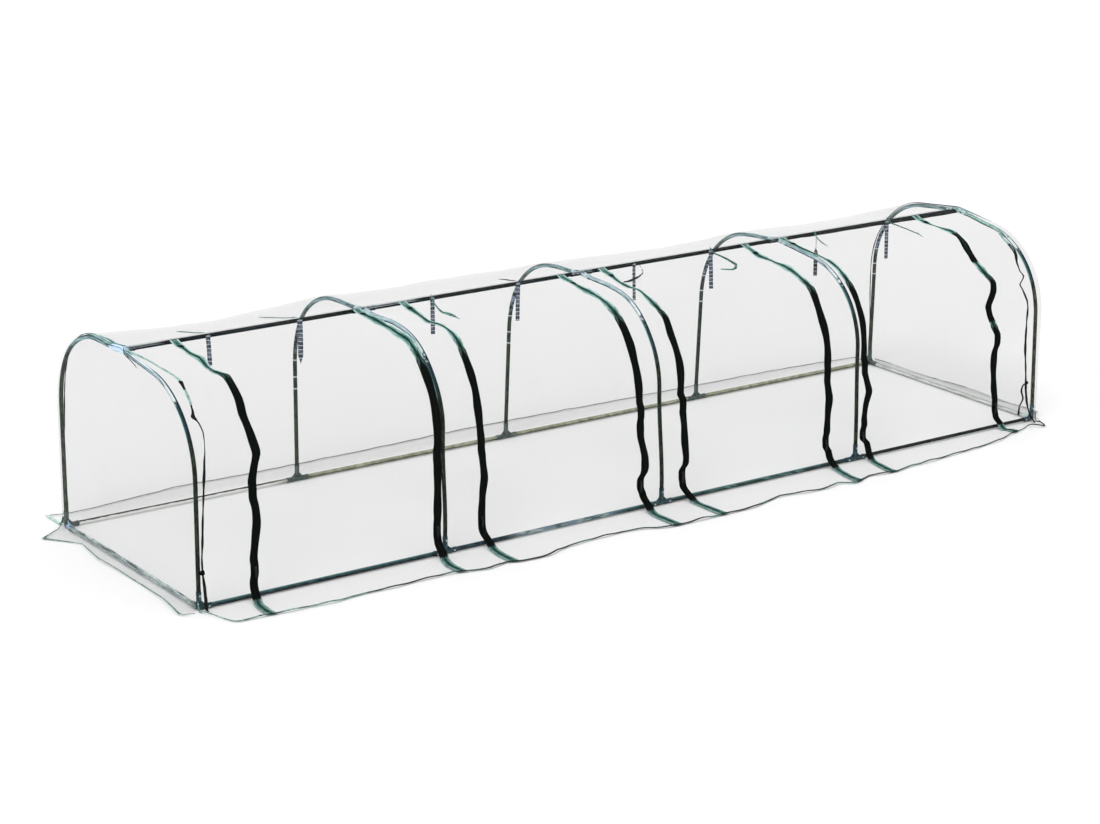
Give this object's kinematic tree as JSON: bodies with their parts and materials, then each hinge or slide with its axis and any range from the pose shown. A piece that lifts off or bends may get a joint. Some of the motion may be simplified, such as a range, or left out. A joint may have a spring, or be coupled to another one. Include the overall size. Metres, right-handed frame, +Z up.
{
  "type": "tunnel greenhouse",
  "caption": "Long low tunnel greenhouse: push-fit steel tube hoops and rails under a clear film cover with ground skirts, and zipped front flaps that lift from the ridge.",
  "frame": {"origin": "on the ground under the middle of the tunnel", "axes": "+X along the tunnel, -Y towards the side with the zipped flaps, +Z up"},
  "size_m": [4.1, 1.4, 0.8171],
  "materials": {
    "tube_green": "satin powder coat, very dark green",
    "joint_green": "semi-gloss moulded, dark blue-green",
    "clear_film": "clear soft film, slightly wrinkled",
    "door_film": "clear soft film, slightly wrinkled",
    "zip_tape": "woven tape, very dark green",
    "tie_ribbon": "woven ribbon, dark blue-green",
    "slider_black": "black enamel"
  },
  "bodies": {
    "root": {"hoop_1_front_tube": "tube_green", "hoop_1_back_tube": "tube_green", "hoop_2_front_tube": "tube_green", "hoop_2_back_tube": "tube_green", "hoop_3_front_tube": "tube_green", "hoop_3_back_tube": "tube_green", "hoop_4_front_tube": "tube_green", "hoop_4_back_tube": "tube_green", "hoop_5_front_tube": "tube_green", "hoop_5_back_tube": "tube_green", "ridge_tube_1": "tube_green", "front_rail_1": "tube_green", "back_rail_1": "tube_green", "ridge_tube_2": "tube_green", "front_rail_2": "tube_green", "back_rail_2": "tube_green", "ridge_tube_3": "tube_green", "front_rail_3": "tube_green", "back_rail_3": "tube_green", "ridge_tube_4": "tube_green", "front_rail_4": "tube_green", "back_rail_4": "tube_green", "end_rail_left": "tube_green", "end_rail_right": "tube_green", "corner_joint_front_left": "joint_green", "corner_joint_front_right": "joint_green", "base_tee_front_2": "joint_green", "base_tee_front_3": "joint_green", "base_tee_front_4": "joint_green", "corner_joint_back_left": "joint_green", "corner_joint_back_right": "joint_green", "base_tee_back_2": "joint_green", "base_tee_back_3": "joint_green", "base_tee_back_4": "joint_green", "ridge_tee_left": "joint_green", "ridge_tee_right": "joint_green", "ridge_cross_2": "joint_green", "ridge_cross_3": "joint_green", "ridge_cross_4": "joint_green", "cover_back_sheet": "clear_film", "cover_end_left": "clear_film", "cover_end_right": "clear_film", "cover_front_strip_1": "clear_film", "cover_front_strip_2": "clear_film", "cover_front_strip_3": "clear_film", "cover_front_strip_4": "clear_film", "cover_front_strip_5": "clear_film", "ridge_tie_tape": "tie_ribbon"},
    "door_1": {"door_flap_1": "door_film"},
    "door_2": {"door_flap_2": "door_film"},
    "door_3": {"door_flap_3": "door_film"},
    "door_4": {"door_flap_4": "door_film"},
    "slider_1_left": {"zip_slider_1_left": "slider_black"},
    "slider_1_right": {"zip_slider_1_right": "slider_black"},
    "slider_2_left": {"zip_slider_2_left": "slider_black"},
    "slider_2_right": {"zip_slider_2_right": "slider_black"},
    "slider_3_left": {"zip_slider_3_left": "slider_black"},
    "slider_3_right": {"zip_slider_3_right": "slider_black"},
    "slider_4_left": {"zip_slider_4_left": "slider_black"},
    "slider_4_right": {"zip_slider_4_right": "slider_black"}
  },
  "joints": [
    {"name": "door_1_lift", "type": "hinge", "parent": "root", "child": "door_1", "pos_m": [-1.3805, -0.0134, 0.81528], "axis": [-1, 0, 0], "range_deg": [0, 100]},
    {"name": "door_2_lift", "type": "hinge", "parent": "root", "child": "door_2", "pos_m": [-0.452, -0.0134, 0.81528], "axis": [-1, 0, 0], "range_deg": [0, 100]},
    {"name": "door_3_lift", "type": "hinge", "parent": "root", "child": "door_3", "pos_m": [0.4665, -0.0134, 0.81528], "axis": [-1, 0, 0], "range_deg": [0, 100]},
    {"name": "door_4_lift", "type": "hinge", "parent": "root", "child": "door_4", "pos_m": [1.3795, -0.0134, 0.81528], "axis": [-1, 0, 0], "range_deg": [0, 100]},
    {"name": "zip_1_left_slide", "type": "slide", "parent": "door_1", "child": "slider_1_left", "axis": [0, 0, 1], "range_m": [0, 0.28]},
    {"name": "zip_1_right_slide", "type": "slide", "parent": "door_1", "child": "slider_1_right", "axis": [0, 0, 1], "range_m": [0, 0.28]},
    {"name": "zip_2_left_slide", "type": "slide", "parent": "door_2", "child": "slider_2_left", "axis": [0, 0, 1], "range_m": [0, 0.28]},
    {"name": "zip_2_right_slide", "type": "slide", "parent": "door_2", "child": "slider_2_right", "axis": [0, 0, 1], "range_m": [0, 0.28]},
    {"name": "zip_3_left_slide", "type": "slide", "parent": "door_3", "child": "slider_3_left", "axis": [0, 0, 1], "range_m": [0, 0.28]},
    {"name": "zip_3_right_slide", "type": "slide", "parent": "door_3", "child": "slider_3_right", "axis": [0, 0, 1], "range_m": [0, 0.28]},
    {"name": "zip_4_left_slide", "type": "slide", "parent": "door_4", "child": "slider_4_left", "axis": [0, 0, 1], "range_m": [0, 0.28]},
    {"name": "zip_4_right_slide", "type": "slide", "parent": "door_4", "child": "slider_4_right", "axis": [0, 0, 1], "range_m": [0, 0.28]}
  ]
}
